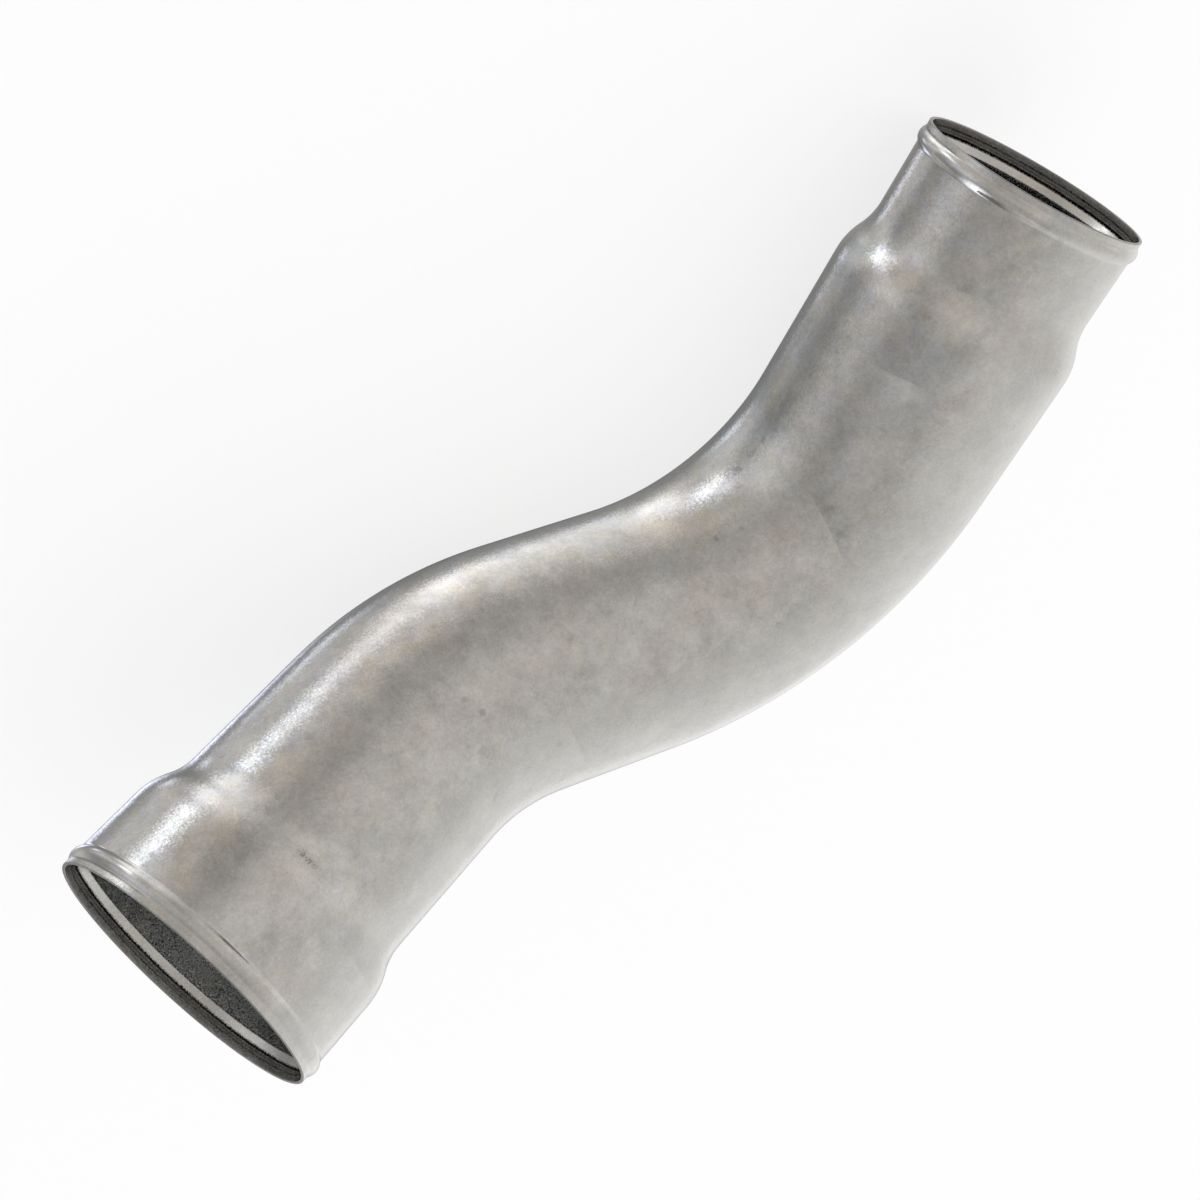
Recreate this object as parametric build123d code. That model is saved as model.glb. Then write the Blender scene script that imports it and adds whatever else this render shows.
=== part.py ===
"""Cold air intake pipe: one thin-walled metal tube with two bends in different
planes, a larger collar at one end, a smaller collar at the other, and a rolled
bead behind a short lip at each end.  Millimetres, +Z up.  The pipe lies on the
plane z = 0 in the attitude in which it comes to rest, with the middle of its
bounding box's floor at the origin and its length along X."""
import os
from math import atan, cos, pi, radians, sin, sqrt, tan

from build123d import *

# ---------------------------------------------------------------- dimensions
MAIN_OD = 90.0            # body of the pipe
LARGE_OD = 100.0          # collar swaged up, large end
SMALL_OD = 80.0           # collar swaged down, small end
WALL = 1.2                # tube wall, the same all the way

RUN_LARGE = 100.0         # straight run from the large end to the first bend
BEND_1_DEG = 28.3         # first bend
RUN_MIDDLE = 44.0         # straight run between the bends
BEND_2_DEG = 60.5         # second bend
RUN_SMALL = 102.5         # straight run from the second bend to the small end
BEND_R = 110.0            # centreline radius of both bends
BEND_TWIST_DEG = -108.9   # turn of the second bend's plane about the middle run

SHOULDER_FROM = 30.6      # the collar ends here, measured from the end of the pipe
SHOULDER_TO = 51.8        # and the body's full diameter starts here

BEAD_CENTRE = 5.1         # crest of the rolled bead, from the end of the pipe
BEAD_WIDTH = 6.2
BEAD_HEIGHT = 1.1
BEAD_CREST_R = 3.4        # the bead is round on the outside, with hollow feet
GROOVE_FLANK_DEG = 22.5   # the bead's groove inside has straight flanks
GROOVE_FOOT_R = 1.7       # and rounded edges
RIM_R = 0.3               # rounding of the end's two edges

# at rest the middle run, the second bend and the small end lie flat on z = 0
MIDDLE_HEADING_DEG = 154.1   # heading of the middle run about +Z, from +X


# ------------------------------------------------------------------ sections
def collar_chain(collar_r, body_r, length, inset):
    """One side of the tube's section at an end, from the lip to the bend.

    Points are (distance from the end, radius).  inset is 0 for the outside and
    the wall for the inside, so the wall stays even through collar and shoulder.
    Returns a list of ("line", end) and ("arc", middle, end) steps after the
    first point.
    """
    steps = []
    base = collar_r - inset

    def arc(centre, radius, a0, a1):
        """Arc about centre; angles are from the radius axis towards the inside."""
        def at(a):
            return (centre[0] + radius * sin(a), centre[1] + radius * cos(a))
        steps.append(("arc", at((a0 + a1) / 2), at(a1)))
        return at(a0)

    half = BEAD_WIDTH / 2
    if inset == 0:
        # bead outside: hollow foot, round crest, hollow foot, tangent to each other
        flank = 2 * atan(BEAD_HEIGHT / half)
        crest_r = BEAD_CREST_R
        foot_r = half / sin(flank) - crest_r
    else:
        # groove inside: rounded edge, straight flank, round bottom and back
        flank = radians(GROOVE_FLANK_DEG)
        foot_r = GROOVE_FOOT_R
        crest_r = (half * sin(flank) - BEAD_HEIGHT * cos(flank)) / (1 - cos(flank)) - foot_r
    crest = (BEAD_CENTRE, base + BEAD_HEIGHT - crest_r)
    near = (BEAD_CENTRE - half, base + foot_r)
    far = (BEAD_CENTRE + half, base + foot_r)

    start = (RIM_R, base)
    steps.append(("line", (near[0], base)))
    arc(near, foot_r, pi, pi - flank)
    if inset > 0:
        steps.append(("line", (crest[0] - crest_r * sin(flank), crest[1] + crest_r * cos(flank))))
    arc(crest, crest_r, -flank, flank)
    if inset > 0:
        steps.append(("line", (far[0] - foot_r * sin(flank), far[1] - foot_r * cos(flank))))
    arc(far, foot_r, pi + flank, pi)
    steps.append(("line", (SHOULDER_FROM, base)))

    # shoulder: two equal arcs, tangent to the collar, to each other and to the body
    step = body_r - collar_r
    width = SHOULDER_TO - SHOULDER_FROM
    turn = 2 * atan(abs(step) / width)
    r = width / sin(turn) / 2
    if step < 0:
        arc((SHOULDER_FROM, collar_r - r), r - inset, 0, turn)
        arc((SHOULDER_TO, body_r + r), r + inset, pi + turn, pi)
    else:
        arc((SHOULDER_FROM, collar_r + r), r + inset, pi, pi - turn)
        arc((SHOULDER_TO, body_r - r), r - inset, -turn, 0)
    steps.append(("line", (length, body_r - inset)))
    return start, steps


def end_section(collar_r, body_r, length):
    """The wall's section of one end, in the XY plane, with the pipe's axis on X."""
    edges = []
    outer, outer_steps = collar_chain(collar_r, body_r, length, 0.0)
    inner, inner_steps = collar_chain(collar_r, body_r, length, WALL)

    def draw(start, steps):
        here = start
        for step in steps:
            if step[0] == "line":
                edges.append(Line(here, step[1]))
            else:
                edges.append(ThreePointArc(here, step[1], step[2]))
            here = step[-1]
        return here

    tail = draw(outer, outer_steps)
    inner_tail = draw(inner, inner_steps)
    edges.append(Line(tail, inner_tail))
    # rounded rim
    k = RIM_R * (1 - 1 / sqrt(2))
    outer_flat = (0.0, collar_r - RIM_R)
    inner_flat = (0.0, collar_r - WALL + RIM_R)
    edges.append(ThreePointArc(outer, (k, collar_r - k), outer_flat))
    edges.append(Line(outer_flat, inner_flat))
    edges.append(ThreePointArc(inner_flat, (k, collar_r - WALL + k), inner))
    return make_face(edges)


def ring():
    """The body's wall, cut square across, on the XY plane."""
    return Circle(MAIN_OD / 2) - Circle(MAIN_OD / 2 - WALL)


# ---------------------------------------------------------------- centreline
bend_1, bend_2, twist, heading = (
    radians(a) for a in (BEND_1_DEG, BEND_2_DEG, BEND_TWIST_DEG, MIDDLE_HEADING_DEG)
)
tangent_1 = BEND_R * tan(bend_1 / 2)
tangent_2 = BEND_R * tan(bend_2 / 2)

axis_2 = Vector(0, 0, 1)                              # the second bend turns about this
way_m = Vector(cos(heading), sin(heading), 0)         # along the middle run
axis_1 = axis_2 * cos(twist) - way_m.cross(axis_2) * sin(twist)   # the first bend's
way_a = way_m * cos(bend_1) - axis_1.cross(way_m) * sin(bend_1)   # into the large end
way_b = way_m * cos(bend_2) + axis_2.cross(way_m) * sin(bend_2)   # out of the small end

corner_2 = Vector(0, 0, MAIN_OD / 2)
bend_2_start = corner_2 - way_m * tangent_2
bend_2_end = corner_2 + way_b * tangent_2
end_small = bend_2_end + way_b * RUN_SMALL
bend_1_end = bend_2_start - way_m * RUN_MIDDLE
corner_1 = bend_1_end - way_m * tangent_1
bend_1_start = corner_1 - way_a * tangent_1
end_large = bend_1_start - way_a * RUN_LARGE


# --------------------------------------------------------------------- solid
def swept_bend(start, way, axis, degrees):
    """A bend of the body: the wall's ring turned about the bend's own axis."""
    section = Plane(origin=start, x_dir=axis, z_dir=way) * ring()
    centre = start + axis.cross(way) * BEND_R
    return revolve(section, Axis(centre, axis), degrees)


def formed_end(collar_od, run, end, way, side):
    """A straight run with its collar, bead and lip; way points into the pipe."""
    turned = revolve(end_section(collar_od / 2, MAIN_OD / 2, run), Axis.X, 360)
    return Plane(origin=end, x_dir=way, z_dir=side) * turned


large_end = formed_end(LARGE_OD, RUN_LARGE, end_large, way_a, axis_1)
first_bend = swept_bend(bend_1_start, way_a, axis_1, BEND_1_DEG)
middle_run = extrude(Plane(origin=bend_1_end, x_dir=axis_1, z_dir=way_m) * ring(), RUN_MIDDLE)
second_bend = swept_bend(bend_2_start, way_m, axis_2, BEND_2_DEG)
small_end = formed_end(SMALL_OD, RUN_SMALL, end_small, way_b * -1, axis_2)

pipe = large_end + first_bend + middle_run + second_bend + small_end

# put the middle of the bounding box's floor at the origin
box = pipe.bounding_box()
pipe = Location((-box.center().X, -box.center().Y, 0)) * pipe

intake_pipe = pipe.solids()[0]
intake_pipe.label = "intake_pipe"

length_of_centreline = RUN_LARGE + BEND_R * bend_1 + RUN_MIDDLE + BEND_R * bend_2 + RUN_SMALL
print("solids", len(pipe.solids()), "valid", intake_pipe.is_valid)
print("centreline %.2f  volume %.1f" % (length_of_centreline, intake_pipe.volume))

os.makedirs("parts", exist_ok=True)
export_step(intake_pipe, "parts/intake_pipe.step")
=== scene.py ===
from math import atan, cos, exp, pi, radians, sin, tan

import bpy
import numpy as np
from mathutils import Matrix, Vector


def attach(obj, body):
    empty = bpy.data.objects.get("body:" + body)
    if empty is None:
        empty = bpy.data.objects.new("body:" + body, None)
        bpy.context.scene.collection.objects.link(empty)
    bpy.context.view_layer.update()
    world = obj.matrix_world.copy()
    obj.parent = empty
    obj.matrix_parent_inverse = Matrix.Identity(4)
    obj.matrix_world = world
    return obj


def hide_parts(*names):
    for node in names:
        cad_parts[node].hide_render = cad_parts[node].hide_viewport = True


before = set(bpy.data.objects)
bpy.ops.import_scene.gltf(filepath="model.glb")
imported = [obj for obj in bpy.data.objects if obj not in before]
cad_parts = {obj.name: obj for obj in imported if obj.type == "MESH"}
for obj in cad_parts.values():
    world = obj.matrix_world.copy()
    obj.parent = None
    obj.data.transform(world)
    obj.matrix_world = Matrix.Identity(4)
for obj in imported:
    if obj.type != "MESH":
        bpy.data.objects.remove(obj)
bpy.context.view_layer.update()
scene = bpy.context.scene

# ============================================================== pipe dimensions
# millimetres, the same form as the solid: two runs with formed ends, two bends
MM = 0.001
WALL, RIM_R = 1.2, 0.3
BODY_R, LARGE_R, SMALL_R = 45.0, 50.0, 40.0
RUN_LARGE, RUN_MIDDLE, RUN_SMALL = 100.0, 44.0, 102.5
BEND_R, BEND_1, BEND_2 = 110.0, radians(28.3), radians(60.5)
TWIST, HEADING = radians(-108.9), radians(154.1)
SHOULDER_FROM, SHOULDER_TO = 30.6, 51.8
BEAD_AT, BEAD_HALF, BEAD_HIGH, BEAD_CREST_R = 5.1, 3.1, 1.1, 3.4
GROOVE_FLANK, GROOVE_FOOT_R = radians(22.5), 1.7
AROUND = 168                                  # points in a ring

# ------------------------------------------------------------------- centreline
axis_2 = np.array([0.0, 0.0, 1.0])
way_m = np.array([cos(HEADING), sin(HEADING), 0.0])
axis_1 = axis_2 * cos(TWIST) - np.cross(way_m, axis_2) * sin(TWIST)
way_a = way_m * cos(BEND_1) - np.cross(axis_1, way_m) * sin(BEND_1)
way_b = way_m * cos(BEND_2) + np.cross(axis_2, way_m) * sin(BEND_2)
t1, t2 = BEND_R * tan(BEND_1 / 2), BEND_R * tan(BEND_2 / 2)
corner_2 = np.array([0.0, 0.0, BODY_R])
bend_2_start = corner_2 - way_m * t2
bend_2_end = corner_2 + way_b * t2
end_small = bend_2_end + way_b * RUN_SMALL
bend_1_end = bend_2_start - way_m * RUN_MIDDLE
bend_1_start = bend_1_end - way_m * t1 - way_a * t1
end_large = bend_1_start - way_a * RUN_LARGE
S1 = RUN_LARGE
S2 = S1 + BEND_R * BEND_1
S3 = S2 + RUN_MIDDLE
S4 = S3 + BEND_R * BEND_2
LENGTH = S4 + RUN_SMALL


def station(s):
    """Point, way and the ring's two directions at a distance s along the pipe."""
    if s <= S1:
        p, t = end_large + way_a * s, way_a
    elif s <= S2:
        a, n = (s - S1) / BEND_R, np.cross(axis_1, way_a)
        p = bend_1_start + BEND_R * ((1 - cos(a)) * n + sin(a) * way_a)
        t = cos(a) * way_a + sin(a) * n
    elif s <= S3:
        p, t = bend_1_end + way_m * (s - S2), way_m
    elif s <= S4:
        a, n = (s - S3) / BEND_R, np.cross(axis_2, way_m)
        p = bend_2_start + BEND_R * ((1 - cos(a)) * n + sin(a) * way_m)
        t = cos(a) * way_m + sin(a) * n
    else:
        p, t = bend_2_end + way_b * (s - S4), way_b
    a = min(max((s - S3) / BEND_R, 0.0), BEND_2)
    n = axis_1 * cos(a) + np.cross(axis_2, axis_1) * sin(a) + axis_2 * (axis_2 @ axis_1) * (1 - cos(a))
    return p, t, n, np.cross(t, n)


# ---------------------------------------------------------------------- section
def formed_end(collar_r, inset, run, step):
    """(distance from the end, radius) down one side of an end's wall, lip to bend."""
    base = collar_r - inset
    if inset == 0:                            # round bead with hollow feet
        flank = 2 * atan(BEAD_HIGH / BEAD_HALF)
        crest_r = BEAD_CREST_R
        foot_r = BEAD_HALF / sin(flank) - crest_r
    else:                                     # groove with straight flanks
        flank, foot_r = GROOVE_FLANK, GROOVE_FOOT_R
        crest_r = (BEAD_HALF * sin(flank) - BEAD_HIGH * cos(flank)) / (1 - cos(flank)) - foot_r
    pts = [(RIM_R, base)]

    def line(x, y, most):
        x0, y0 = pts[-1]
        k = max(1, int(np.ceil(np.hypot(x - x0, y - y0) / most)))
        pts.extend((x0 + (x - x0) * i / k, y0 + (y - y0) * i / k) for i in range(1, k + 1))

    def arc(x, y, r, a0, a1, k):
        pts.extend((x + r * sin(a0 + (a1 - a0) * i / k), y + r * cos(a0 + (a1 - a0) * i / k))
                   for i in range(1, k + 1))

    near, far = BEAD_AT - BEAD_HALF, BEAD_AT + BEAD_HALF
    crest_y = base + BEAD_HIGH - crest_r
    line(near, base, 0.9)
    arc(near, base + foot_r, foot_r, pi, pi - flank, 5)
    if inset > 0:
        line(BEAD_AT - crest_r * sin(flank), crest_y + crest_r * cos(flank), 0.8)
    arc(BEAD_AT, crest_y, crest_r, -flank, flank, 14 if inset == 0 else 6)
    if inset > 0:
        line(far - foot_r * sin(flank), base + foot_r - foot_r * cos(flank), 0.8)
    arc(far, base + foot_r, foot_r, pi + flank, pi, 5)
    line(SHOULDER_FROM, base, step)
    rise = BODY_R - collar_r
    width = SHOULDER_TO - SHOULDER_FROM
    turn = 2 * atan(abs(rise) / width)
    r = width / sin(turn) / 2
    if rise < 0:
        arc(SHOULDER_FROM, collar_r - r, r - inset, 0, turn, 10)
        arc(SHOULDER_TO, BODY_R + r, r + inset, pi + turn, pi, 10)
    else:
        arc(SHOULDER_FROM, collar_r + r, r + inset, pi, pi - turn, 10)
        arc(SHOULDER_TO, BODY_R - r, r - inset, -turn, 0, 10)
    line(run, BODY_R - inset, step)
    return pts


def rim(collar_r, first):
    """The rounded end face, from the outside's first point to the inside's or back."""
    pts = []
    for i in range(0, 5):
        a = pi / 2 * i / 5
        pts.append((RIM_R - RIM_R * sin(a), collar_r - RIM_R + RIM_R * cos(a)))
    pts += [(0.0, collar_r - RIM_R), (0.0, collar_r - WALL / 2), (0.0, collar_r - WALL + RIM_R)]
    for i in range(1, 5):
        a = pi / 2 * (1 - i / 5)
        pts.append((RIM_R - RIM_R * sin(a), collar_r - WALL + RIM_R - RIM_R * cos(a)))
    pts = pts[1:]
    return pts if first else pts[::-1]


def side(inset, step):
    """(distance along the pipe, radius) of the whole outside or inside, large end first."""
    a = formed_end(LARGE_R, inset, RUN_LARGE, step)
    b = [(LENGTH - u, r) for u, r in formed_end(SMALL_R, inset, RUN_SMALL, step)][::-1]
    middle = []
    for lo, hi, most in ((S1, S2, 2.4), (S2, S3, step), (S3, S4, 2.4)):
        k = int(np.ceil((hi - lo) / most))
        middle += [(lo + (hi - lo) * i / k, BODY_R - inset) for i in range(1, k + 1)]
    return a + middle[:-1] + b


outside, inside = side(0.0, 2.4), side(WALL, 3.2)
rim_small = [(LENGTH - u, r) for u, r in rim(SMALL_R, True)]
rim_large = rim(LARGE_R, False)
loop = outside + rim_small + inside[::-1] + rim_large
kind = [0] * len(outside) + [2] * len(rim_small) + [1] * len(inside) + [2] * len(rim_large)

# ------------------------------------------------------------------------- mesh
theta = np.arange(AROUND) * 2 * pi / AROUND - pi
rings = len(loop)
co = np.zeros((rings, AROUND, 3))
for i, (s, r) in enumerate(loop):
    p, t, n, b = station(s)
    co[i] = p + r * (np.cos(theta)[:, None] * n + np.sin(theta)[:, None] * b)
flat = co.reshape(-1, 3)
lo, hi = flat.min(0), flat.max(0)
shift = np.array([(lo[0] + hi[0]) / 2, (lo[1] + hi[1]) / 2, 0.0])
flat = flat - shift

faces = []
for i in range(rings):
    k = (i + 1) % rings
    for j in range(AROUND):
        m = (j + 1) % AROUND
        faces.append((i * AROUND + j, i * AROUND + m, k * AROUND + m, k * AROUND + j))
mesh = bpy.data.meshes.new("intake_pipe_skin")
mesh.from_pydata((flat * MM).tolist(), [], faces)
mesh.update()
mesh.polygons.foreach_set("use_smooth", [True] * len(faces))
pipe = bpy.data.objects.new("pipe_skin", mesh)
scene.collection.objects.link(pipe)

# what the metal reads at each corner of a face: millimetres along the pipe, degrees
# around it, whether the face is in the bore, and whether it is on a cut rim
ring_s = np.array([s for s, r in loop])
ring_kind = np.array(kind)
here, there = np.arange(rings), (np.arange(rings) + 1) % rings
deg = np.arange(AROUND + 1) * 360.0 / AROUND - 180.0


def at_corners(ring_value):
    v = np.zeros((rings, AROUND, 4), np.float32)
    v[:, :, 0] = v[:, :, 1] = ring_value[here][:, None]
    v[:, :, 2] = v[:, :, 3] = ring_value[there][:, None]
    return v.ravel()


turned = np.zeros((rings, AROUND, 4), np.float32)
turned[:, :, 0] = turned[:, :, 3] = deg[:-1]
turned[:, :, 1] = turned[:, :, 2] = deg[1:]
for name, values in (("along", at_corners(ring_s)),
                     ("turned", turned.ravel()),
                     ("bore", at_corners((ring_kind == 1).astype(float))),
                     ("cut", at_corners((ring_kind == 2).astype(float)))):
    mesh.attributes.new(name, "FLOAT", "CORNER").data.foreach_set("value", values)

# soft light and dark blotches of the outside: place, reach, amount
blotch = np.zeros(len(flat))
for x, y, z, size, amount in (
        (82.8, -37.6, 91.8, 6.5, 0.10), (40.5, -30.9, 68.0, 5.5, 0.08), (29.6, -23.5, 70.7, 9.0, 0.05),
        (126.1, -61.9, 105.0, 6.0, 0.07), (149.6, -69.5, 120.8, 8.0, 0.05), (-12.1, -5.2, 68.4, 5.0, 0.07),
        (-105.8, -25.5, 74.0, 8.0, 0.04), (-54.3, 10.1, 80.9, 8.0, 0.05), (-140.9, -26.9, 85.8, 8.0, 0.05),
        (-71.7, 10.7, 84.4, 8.0, -0.06), (-0.5, -13.7, 63.0, 9.0, -0.06), (-123.3, -36.4, 75.1, 9.0, -0.05),
        (-141.9, -9.2, 90.0, 10.0, -0.06), (55.4, -30.6, 78.5, 9.0, -0.04), (-145.8, -47.4, 71.8, 8.0, -0.05),
        (107.2, -57.4, 86.2, 9.0, -0.04), (-90.6, -27.3, 51.4, 8.0, -0.04)):
    far = np.linalg.norm(flat - np.array([x, y, z]), axis=1) / (1.6 * size)
    blotch += amount * np.clip(1 - far * far, 0, 1) ** 2
blotch[np.repeat(ring_kind, AROUND) != 0] = 0.0
mesh.attributes.new("blotch", "FLOAT", "POINT").data.foreach_set("value", blotch.astype(np.float32))

# a flat map of the skin: the outside along the bottom, the bore above it, then the rims
gone = np.hypot(*np.diff(np.array(loop + loop[:1]), axis=0).T)
gone = np.concatenate([[0.0], np.cumsum(gone)])
a0 = len(outside) - 1
a1 = a0 + len(rim_small) + 1
a2 = a1 + len(inside) - 1
uv = np.zeros((rings, AROUND, 4, 2))
around = np.zeros((rings, AROUND, 4))
around[:, :, 0] = around[:, :, 3] = np.arange(AROUND) / AROUND
around[:, :, 1] = around[:, :, 2] = (np.arange(AROUND) + 1) / AROUND
for first, last, low, high in ((0, a0, 0.01, 0.67), (a0, a1, 0.925, 0.95),
                               (a1, a2, 0.69, 0.91), (a2, rings, 0.965, 0.99)):
    f = (gone[first:last + 1] - gone[first]) / (gone[last] - gone[first])
    lengthwise = np.zeros((last - first, AROUND, 4))
    lengthwise[:, :, 0] = lengthwise[:, :, 1] = f[:-1, None]
    lengthwise[:, :, 2] = lengthwise[:, :, 3] = f[1:, None]
    ring = around[first:last]
    if last - first > 40:
        uv[first:last, :, :, 0] = 0.01 + 0.98 * lengthwise
        uv[first:last, :, :, 1] = low + (high - low) * ring
    else:
        uv[first:last, :, :, 0] = 0.01 + 0.98 * ring
        uv[first:last, :, :, 1] = low + (high - low) * lengthwise
mesh.uv_layers.new(name="OFBake").uv.foreach_set("vector", uv.astype(np.float32).ravel())

# ======================================================================== metal
# bare tube with a dull, handled skin: cloudy stains, fine grain, a few dark specks,
# sharp tone steps across the tube, grey cut rims and a gritty bore with painted light and shade
mat = bpy.data.materials.new("pipe_metal")
mat.use_nodes = True
nodes, links = mat.node_tree.nodes, mat.node_tree.links
bsdf = nodes["Principled BSDF"]
place = nodes.new("ShaderNodeTexCoord").outputs["Object"]


def put(socket, value):
    if isinstance(value, bpy.types.NodeSocket):
        links.new(value, socket)
    else:
        socket.default_value = value


def calc(op, *values):
    n = nodes.new("ShaderNodeMath")
    n.operation = op
    for socket, value in zip(n.inputs, values):
        put(socket, value)
    return n.outputs[0]


def fade(x, lo, hi, at_lo=0.0, at_hi=1.0):
    n = nodes.new("ShaderNodeMapRange")
    n.interpolation_type = "SMOOTHSTEP"
    for name, value in (("Value", x), ("From Min", lo), ("From Max", hi), ("To Min", at_lo), ("To Max", at_hi)):
        put(n.inputs[name], value)
    return n.outputs["Result"]


def noise(grain_mm, detail, rough, away):
    """Noise of about the given grain, centred on 0."""
    moved = nodes.new("ShaderNodeVectorMath")
    links.new(place, moved.inputs[0])
    moved.inputs[1].default_value = away
    n = nodes.new("ShaderNodeTexNoise")
    links.new(moved.outputs[0], n.inputs["Vector"])
    n.inputs["Scale"].default_value = 1000.0 / grain_mm
    n.inputs["Detail"].default_value = detail
    n.inputs["Roughness"].default_value = rough
    return calc("SUBTRACT", n.outputs["Factor"] if "Factor" in n.outputs else n.outputs["Fac"], 0.5)


def reading(name):
    n = nodes.new("ShaderNodeAttribute")
    n.attribute_name = name
    return n.outputs["Fac"]


along, degrees, bore, cut, blotches = (
    reading(name) for name in ("along", "turned", "bore", "cut", "blotch"))
from_end = calc("MINIMUM", along, calc("SUBTRACT", LENGTH, along))
outer = calc("SUBTRACT", 1.0, bore)

stain = noise(14.0, 5.0, 0.82, (0.0, 0.0, 0.0))
tint = noise(17.0, 4.0, 0.78, (0.13, 0.41, 0.29))
polish = noise(8.0, 3.0, 0.8, (0.53, 0.17, 0.37))
grain = noise(0.9, 2.0, 0.7, (0.05, 0.23, 0.61))
grit = noise(0.45, 0.0, 0.5, (0.31, 0.07, 0.19))

# a long strip down one side of the tube is calmer, and so is the bore
calm = calc("MULTIPLY", fade(degrees, -136.0, -127.0), fade(degrees, -62.0, -84.0))
cloudy = calc("MULTIPLY_ADD", bore, -0.5, calc("MULTIPLY_ADD", calm, -0.55, 1.05))
tone = calc("MULTIPLY_ADD", stain, cloudy, 1.0)
tone = calc("MULTIPLY_ADD", grain, 0.27, tone)
tone = calc("ADD", tone, blotches)


def tone_step_across(tone, s, lean, about, from_deg, to_deg, light, dark, reach):
    """A sharp tone step along a line across the tube, lighter before and darker after."""
    past = calc("SUBTRACT", along, calc("MULTIPLY_ADD", degrees, lean, s - lean * about))
    step = fade(past, -0.35, 0.35, light, -dark)
    far = calc("EXPONENT", calc("MULTIPLY", calc("ABSOLUTE", past), -1.0 / reach))
    soft = 7.0
    window = calc("MULTIPLY", fade(degrees, from_deg - soft, from_deg + soft), fade(degrees, to_deg + soft, to_deg - soft))
    return calc("MULTIPLY_ADD", calc("MULTIPLY", step, far), calc("MULTIPLY", window, outer), tone)


tone = tone_step_across(tone, 287.0, -0.45, -155.0, -165.0, -138.0, 0.060, 0.110, 12.0)
tone = tone_step_across(tone, 156.0, 0.22, -117.0, -128.0, -103.0, 0.060, 0.050, 18.0)
tone = tone_step_across(tone, 349.0, 0.10, -163.0, -172.0, -151.0, 0.090, 0.120, 13.0)
tone = tone_step_across(tone, 382.0, 0.15, -157.0, -164.0, -150.0, 0.050, 0.090, 10.0)
tone = tone_step_across(tone, 31.0, 0.0, -119.0, -129.0, -100.0, 0.045, 0.035, 15.0)


# small dark spots with ragged outlines
def spot(onto, x, y, z, size, amount):
    away = nodes.new("ShaderNodeVectorMath")
    away.operation = "DISTANCE"
    links.new(place, away.inputs[0])
    away.inputs[1].default_value = (x * MM, y * MM, z * MM)
    ragged = calc("MULTIPLY_ADD", stain, 6.0 * MM, away.outputs["Value"])
    return calc("ADD", onto, fade(ragged, size * MM, 0.3 * size * MM, 0.0, amount))


for x, y, z, size, amount in (
        (61.3, -29.6, 82.9, 1.8, -0.20), (63.2, -35.4, 79.0, 1.7, -0.17), (57.4, -32.4, 78.0, 1.4, -0.13),
        (71.0, -28.6, 89.5, 1.4, -0.12), (68.9, -23.1, 90.9, 2.8, -0.13), (-69.0, 0.3, 76.2, 2.8, -0.14),
        (-68.0, 7.0, 81.3, 2.4, -0.14), (-53.0, -7.9, 44.1, 2.2, -0.16), (-49.7, -7.0, 49.8, 1.6, -0.12),
        (91.9, -53.3, 77.2, 1.5, -0.11), (-148.9, -56.6, 63.3, 2.4, -0.12), (-126.8, -50.0, 51.3, 2.4, -0.15)):
    tone = spot(tone, x, y, z, size, amount)

# straight marks between two points: fine light scratches, dark ragged smears, and a painted dark reflection
# round the large end's shoulder
def mark(tone, start, end, width, ragged, amount):
    start, end = Vector(start) * MM, Vector(end) * MM
    length = (end - start).length
    way = (end - start) / length
    rel = nodes.new("ShaderNodeVectorMath")
    rel.operation = "SUBTRACT"
    links.new(place, rel.inputs[0])
    rel.inputs[1].default_value = start
    reach = nodes.new("ShaderNodeVectorMath")
    reach.operation = "DOT_PRODUCT"
    links.new(rel.outputs[0], reach.inputs[0])
    reach.inputs[1].default_value = way
    foot = nodes.new("ShaderNodeVectorMath")
    foot.operation = "SCALE"
    foot.inputs[0].default_value = way
    put(foot.inputs["Scale"], calc("MINIMUM", calc("MAXIMUM", reach.outputs["Value"], 0.0), length))
    off = nodes.new("ShaderNodeVectorMath")
    off.operation = "DISTANCE"
    links.new(rel.outputs[0], off.inputs[0])
    links.new(foot.outputs[0], off.inputs[1])
    off = calc("MULTIPLY_ADD", stain, ragged * MM, off.outputs["Value"])
    return calc("ADD", tone, fade(off, width * MM, 0.3 * width * MM, 0.0, amount))


for start, end, width, ragged, amount in (
        ((-151.4, -30.1, 83.2), (-165.4, -21.7, 84.9), 0.45, 0.0, 0.075),
        ((-149.1, -30.2, 83.1), (-149.7, -26.0, 84.7), 0.45, 0.0, 0.05),
        # painted dark reflection: a soft dark line round the large end's shoulder, where its two arcs meet
        ((125.3, -58.8, 108.9), (124.3, -54.0, 113.5), 1.3, 1.0, -0.08),
        ((-60.0, -9.8, 44.2), (-67.1, -12.6, 43.5), 1.7, 4.0, -0.17),
        ((-67.1, -12.6, 43.5), (-81.1, -21.3, 43.7), 3.6, 8.0, -0.09),
        ((-51.0, -7.3, 40.8), (-55.0, -8.3, 45.3), 0.7, 3.0, -0.16)):
    tone = mark(tone, start, end, width, ragged, amount)

# a darker line in the outside foot of the bead, along a part of the way round, a little warmer in colour
foot_darkening = calc("MULTIPLY", fade(from_end, 1.70, 2.00), fade(from_end, 2.60, 2.30))
foot_darkening = calc("MULTIPLY", foot_darkening, calc("MULTIPLY", fade(degrees, 105.0, 122.0), fade(degrees, 172.0, 156.0)))
foot_darkening = calc("MULTIPLY", foot_darkening, outer)
tone = calc("MULTIPLY_ADD", foot_darkening, -0.42, tone)

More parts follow.
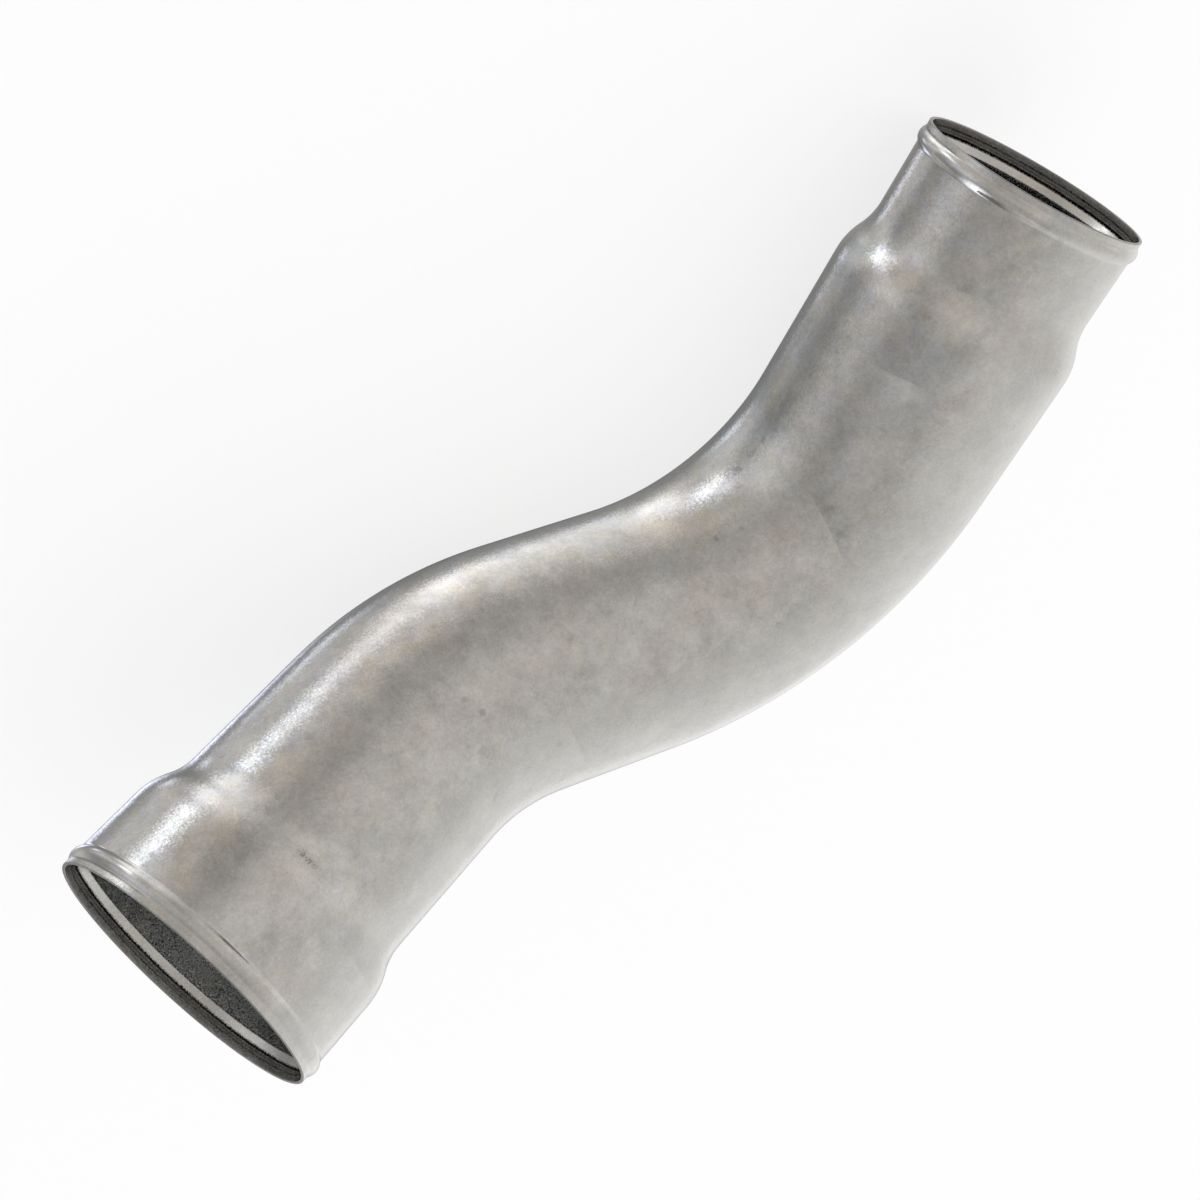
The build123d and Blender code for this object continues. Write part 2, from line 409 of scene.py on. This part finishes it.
# scattered dark specks
cells = nodes.new("ShaderNodeTexVoronoi")
links.new(place, cells.inputs["Vector"])
cells.inputs["Scale"].default_value = 120.0
chosen = nodes.new("ShaderNodeSeparateColor")
links.new(cells.outputs["Color"], chosen.inputs[0])
speck = calc("MULTIPLY_ADD", stain, 0.5, cells.outputs["Distance"])
speck = calc("MULTIPLY", fade(speck, 0.20, 0.08), fade(chosen.outputs[0], 0.78, 0.95))
tone = calc("MULTIPLY_ADD", calc("MULTIPLY", speck, outer), -0.12, tone)

# the cut rims are greyer. In the bore the tones are painted light and shade over a gritty grain: the lip's
# inside is painted darker, the groove's near face (with fine turned lines) and near foot painted lighter, its
# bottom painted dark as shade, its far face painted lighter as a reflection band; beyond, painted shade near
# the small end, painted light deep in
tone = calc("MULTIPLY", tone, calc("MULTIPLY_ADD", cut, -0.45, 1.0))
lip = fade(from_end, 2.4, 1.9)
near_face = calc("MULTIPLY", fade(from_end, 2.3, 2.9), fade(from_end, 4.7, 4.3))
groove_shade = calc("MULTIPLY", fade(from_end, 4.3, 4.7), fade(from_end, 5.8, 5.3))
far_face = calc("MULTIPLY", fade(from_end, 5.3, 5.8), fade(from_end, 8.4, 7.8))
near_foot = calc("MULTIPLY", fade(from_end, 1.9, 2.15), fade(from_end, 2.75, 2.45))
deep = fade(from_end, 8.0, 9.0)
far_in = fade(from_end, 34.0, 70.0)
# near face of the groove: painted lighter, standing in for light, with fine lines
lines = calc("SINE", calc("MULTIPLY_ADD", from_end, 2 * pi, pi / 2 - 3.1 * 2 * pi))
bore_painted_light_and_grit = calc("MULTIPLY_ADD", lines, 0.30, fade(along, 250.0, 400.0, 0.33, 0.55))
bore_painted_light_and_grit = calc("MULTIPLY_ADD", near_face, bore_painted_light_and_grit, 0.86)
# lip's inside painted darker, near foot painted lighter
bore_painted_light_and_grit = calc("MULTIPLY_ADD", lip, fade(along, 250.0, 400.0, -0.12, -0.26), bore_painted_light_and_grit)
bore_painted_light_and_grit = calc("MULTIPLY_ADD", near_foot, fade(along, 250.0, 400.0, 0.75, 0.42), bore_painted_light_and_grit)
# painted shade in the groove's bottom, painted reflection band on its far face
bore_painted_light_and_grit = calc("MULTIPLY_ADD", groove_shade, fade(along, 250.0, 400.0, -0.50, -0.80), bore_painted_light_and_grit)
bore_painted_light_and_grit = calc("MULTIPLY_ADD", far_face, 0.14, bore_painted_light_and_grit)
# beyond the groove: painted shade near the small end, then painted light from 3 to 7 cm in
bore_painted_light_and_grit = calc("MULTIPLY_ADD", deep, fade(along, 250.0, 400.0, 0.10, -0.68), bore_painted_light_and_grit)
bore_painted_light_and_grit = calc("MULTIPLY_ADD", far_in, fade(along, 250.0, 400.0, 0.75, 1.30), bore_painted_light_and_grit)
rough_grain = calc("MULTIPLY_ADD", far_face, -1.2, fade(along, 250.0, 400.0, 1.6, 1.1))
rough_grain = calc("MULTIPLY_ADD", lip, -0.7, rough_grain)
bore_painted_light_and_grit = calc("MULTIPLY_ADD", calc("MULTIPLY_ADD", grit, 2.0, calc("MULTIPLY", grain, 0.6)),
              calc("MULTIPLY", rough_grain, 0.6), bore_painted_light_and_grit)
tone = calc("MULTIPLY", tone, calc("MULTIPLY_ADD", bore, calc("SUBTRACT", bore_painted_light_and_grit, 1.0), 1.0))

# colour: warm and cool patches of the metal, stronger towards the small end; along one side they grow stronger
# and more olive, a painted coloured reflection
# painted reflection: the side strip where the room's brownish colour is painted in as tint
reflection_tint_strip = calc("MULTIPLY", fade(degrees, 105.0, 130.0), fade(degrees, 180.0, 166.0))
patchy = calc("MULTIPLY_ADD", fade(along, 320.0, 360.0), calc("MULTIPLY_ADD", calm, -0.11, 0.11), 0.17)
patchy = calc("MULTIPLY_ADD", reflection_tint_strip, 0.07, calc("MULTIPLY_ADD", calm, -0.14, patchy))
warm = calc("MULTIPLY", tint, patchy)
olive = calc("MULTIPLY", polish, calc("MULTIPLY_ADD", patchy, 0.7, calc("MULTIPLY", reflection_tint_strip, 0.17)))
warm = calc("MULTIPLY_ADD", grain, 0.07, warm)
# the bore beyond the groove painted a little cooler, with its painted light and shade
warm = calc("MULTIPLY_ADD", calc("MULTIPLY", bore, deep), -0.035, warm)
warm = calc("MULTIPLY_ADD", foot_darkening, 0.05, warm)
colour = nodes.new("ShaderNodeCombineColor")
put(colour.inputs[0], calc("MULTIPLY", tone, calc("MULTIPLY_ADD", warm, 0.42, 0.42)))
put(colour.inputs[1], calc("MULTIPLY", tone, 0.41))
less_blue = calc("MULTIPLY_ADD", warm, 0.82, olive)
put(colour.inputs[2], calc("MULTIPLY", tone, calc("MULTIPLY_ADD", less_blue, -0.39, 0.39)))
links.new(colour.outputs[0], bsdf.inputs["Base Color"])

# sheen of the skin: patchy, duller where stained, in the bore, on the rims and on the
# lip, brighter on the rolled bead
dull = calc("MULTIPLY_ADD", polish, 0.32, 0.140)
dull = calc("MULTIPLY_ADD", stain, -0.15, dull)
dull = calc("MULTIPLY_ADD", grain, 0.08, dull)
dull = calc("MULTIPLY_ADD", grit, 0.30, dull)
rolled = calc("MULTIPLY", fade(from_end, 1.8, 2.3), fade(from_end, 9.0, 8.2))
dull = calc("MULTIPLY_ADD", rolled, -0.070, dull)
dull = calc("MULTIPLY_ADD", lip, 0.11, dull)
dull = spot(dull, 158.5, -80.1, 99.8, 6.5, 0.28)
dull = calc("MULTIPLY_ADD", bore, calc("MULTIPLY_ADD", near_face, 0.30, 0.18), dull)
dull = calc("MULTIPLY_ADD", cut, 0.16, dull)
facing = nodes.new("ShaderNodeLayerWeight")
facing.inputs["Blend"].default_value = 0.5
dull = calc("MULTIPLY", dull, fade(facing.outputs["Facing"], 0.68, 0.90, 1.0, 0.5))
links.new(calc("MINIMUM", calc("MAXIMUM", dull, 0.06), 0.7), bsdf.inputs["Roughness"])

# the skin's crystals: small facets, each tilted its own way
facets = nodes.new("ShaderNodeTexVoronoi")
links.new(place, facets.inputs["Vector"])
facets.inputs["Scale"].default_value = 2000.0
tilt = nodes.new("ShaderNodeVectorMath")
tilt.operation = "SUBTRACT"
links.new(facets.outputs["Color"], tilt.inputs[0])
tilt.inputs[1].default_value = (0.5, 0.5, 0.5)
slight = nodes.new("ShaderNodeVectorMath")
slight.operation = "SCALE"
links.new(tilt.outputs[0], slight.inputs[0])
put(slight.inputs["Scale"], calc("MULTIPLY_ADD", rolled, -0.055, 0.075))
leaning = nodes.new("ShaderNodeVectorMath")
leaning.operation = "ADD"
links.new(nodes.new("ShaderNodeNewGeometry").outputs["Normal"], leaning.inputs[0])
links.new(slight.outputs[0], leaning.inputs[1])
unit = nodes.new("ShaderNodeVectorMath")
unit.operation = "NORMALIZE"
links.new(leaning.outputs[0], unit.inputs[0])

# and a faint unevenness of the rolled sheet
bump = nodes.new("ShaderNodeBump")
bump.inputs["Strength"].default_value = 1.0
bump.inputs["Distance"].default_value = 0.00007
uneven = calc("MULTIPLY_ADD", grain, 0.25, calc("MULTIPLY", polish, 0.45))
links.new(calc("MULTIPLY", uneven, calc("MULTIPLY_ADD", rolled, -0.6, 1.0)), bump.inputs["Height"])
links.new(unit.outputs[0], bump.inputs["Normal"])
links.new(bump.outputs["Normal"], bsdf.inputs["Normal"])
bsdf.inputs["Metallic"].default_value = 1.0
mesh.materials.append(mat)

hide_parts("intake_pipe")
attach(pipe, "root")

# ------------------------------------------------------------------------ floor
bpy.ops.mesh.primitive_plane_add(size=30.0, location=(0, 0, 0))
floor = bpy.context.object
floor.name = "floor"
white = bpy.data.materials.new("floor_white")
white.use_nodes = True
fb = white.node_tree.nodes["Principled BSDF"]
fb.inputs["Base Color"].default_value = (0.26, 0.26, 0.26, 1)
fb.inputs["Roughness"].default_value = 1.0
fb.inputs["Specular IOR Level"].default_value = 0.0
fb.inputs["Emission Color"].default_value = (0.743, 0.746, 0.749, 1)
fb.inputs["Emission Strength"].default_value = 1.0
floor.data.materials.append(white)
floor.visible_glossy = False
floor.visible_shadow = False

# ------------------------------------------------------------------------ light
# an even grey room with soft round panels, one of them dark: azimuth, elevation,
# tightness, colour
ROOM = (0.331, 0.334, 0.335)
PANELS = [
    (96.8, 16.7, 4.82, (0.765, 0.775, 0.780)),
    (-104.6, 44.6, 3.53, (0.578, 0.543, 0.509)),
    (136.0, -11.5, 6.23, (0.663, 0.649, 0.632)),
    (56.1, 61.8, 4.56, (0.468, 0.465, 0.459)),
    (-166.8, 9.2, 6.74, (0.622, 0.593, 0.559)),
    (-156.4, -55.1, 13.11, (1.031, 1.015, 0.996)),
    (-58.6, -20.2, 9.86, (0.743, 0.742, 0.762)),
    (154.5, 49.4, 6.25, (0.364, 0.356, 0.354)),
    (44.5, 18.5, 9.26, (0.515, 0.506, 0.508)),
    (-1.5, -10.7, 62.30, (1.897, 1.951, 2.094)),
    (15.0, -16.6, 80.00, (2.440, 2.530, 2.840)),
    (-16.5, -5.1, 48.13, (1.255, 1.300, 1.455)),
    (-91.5, -45.3, 58.00, (0.780, 0.820, 0.900)),
    (-92.0, -49.0, 130.50, (1.800, 1.870, 2.010)),
    (-124.4, -34.5, 23.22, (0.556, 0.509, 0.482)),
    (70.2, -3.6, 26.61, (0.570, 0.557, 0.564)),
    (11.2, -49.2, 24.70, (0.525, 0.506, 0.483)),
    (-51.0, -74.0, 35.06, (0.590, 0.589, 0.599)),
    (-98.0, -15.1, 21.31, (0.367, 0.319, 0.247)),
    (-119.0, -56.3, 76.33, (1.074, 1.064, 1.093)),
    (9.7, 30.9, 26.53, (0.377, 0.362, 0.366)),
    (-27.9, 33.4, 18.75, (0.249, 0.247, 0.266)),
    (-141.0, -68.2, 91.60, (1.096, 1.099, 1.175)),
    (90.7, -17.3, 38.28, (0.414, 0.395, 0.399)),
    (156.9, 11.2, 26.84, (0.230, 0.219, 0.215)),
    (55.9, -55.3, 126.97, (0.743, 0.762, 0.890)),
    (-72.1, -59.6, 69.24, (0.441, 0.423, 0.366)),
    (175.5, -65.5, 120.31, (0.571, 0.626, 0.727)),
    (-81.1, -35.9, 149.17, (0.709, 0.698, 0.817)),
    (55.8, -59.6, 259.50, (0.880, 0.980, 1.350)),
    (34.0, -82.0, 240.50, (1.000, 1.060, 1.250)),
    (87.0, -46.0, 24.00, (-0.260, -0.255, -0.245)),
]
BACKDROP = (0.99, 0.99, 0.99, 1)
world = bpy.data.worlds.new("studio")
world.use_nodes = True
wn, wl = world.node_tree.nodes, world.node_tree.links
background = wn["Background"]
way = wn.new("ShaderNodeTexCoord").outputs["Generated"]
total = None
for azimuth, elevation, tight, panel_colour in PANELS:
    a, e = radians(azimuth), radians(elevation)
    narrow = tight > 80.0                     # a power of the cosine instead of an exponential
    k = 1.0 if narrow else tight
    dot = wn.new("ShaderNodeVectorMath")
    dot.operation = "DOT_PRODUCT"
    wl.new(way, dot.inputs[0])
    dot.inputs[1].default_value = (k * cos(e) * cos(a), k * cos(e) * sin(a), k * sin(e))
    soft = wn.new("ShaderNodeMath")
    soft.operation = "POWER" if narrow else "EXPONENT"
    wl.new(dot.outputs["Value"], soft.inputs[0])
    if narrow:
        soft.inputs[1].default_value = tight
    add = wn.new("ShaderNodeVectorMath")
    add.operation = "MULTIPLY_ADD"
    add.inputs[0].default_value = [c * (1.0 if narrow else exp(-tight)) for c in panel_colour]
    wl.new(soft.outputs[0], add.inputs[1])
    if total is None:
        add.inputs[2].default_value = ROOM
    else:
        wl.new(total, add.inputs[2])
    total = add.outputs[0]
wl.new(total, background.inputs["Color"])
# the room itself shows as the same pale tone as the floor
plain = wn.new("ShaderNodeBackground")
plain.inputs["Color"].default_value = BACKDROP
seen = wn.new("ShaderNodeMixShader")
wl.new(wn.new("ShaderNodeLightPath").outputs["Is Camera Ray"], seen.inputs[0])
wl.new(background.outputs[0], seen.inputs[1])
wl.new(plain.outputs[0], seen.inputs[2])
wl.new(seen.outputs[0], wn["World Output"].inputs["Surface"])
scene.world = world
scene.view_settings.view_transform = "Standard"
scene.cycles.diffuse_bounces = 1
scene.cycles.use_adaptive_sampling = True
scene.cycles.adaptive_threshold = 0.05

# ----------------------------------------------------------------------- camera
cam = bpy.data.cameras.new("camera")
cam.sensor_width = 36.0
cam.lens = 18.0 / tan(radians(20.0))
cam.clip_start, cam.clip_end = 0.01, 100.0
camera = bpy.data.objects.new("camera", cam)
scene.collection.objects.link(camera)
right = Vector((-0.8102165, 0.3872540, 0.4399813))
up = Vector((-0.5859480, -0.5163953, -0.6245005))
back = Vector((-0.0146361, -0.7637868, 0.6453027))
camera.matrix_world = Matrix((
    (right.x, up.x, back.x, 0.00241438),
    (right.y, up.y, back.y, -0.43517633),
    (right.z, up.z, back.z, 0.41628045),
    (0, 0, 0, 1)))
scene.camera = camera

bpy.context.view_layer.update()
print("rings", rings, "faces", len(faces))
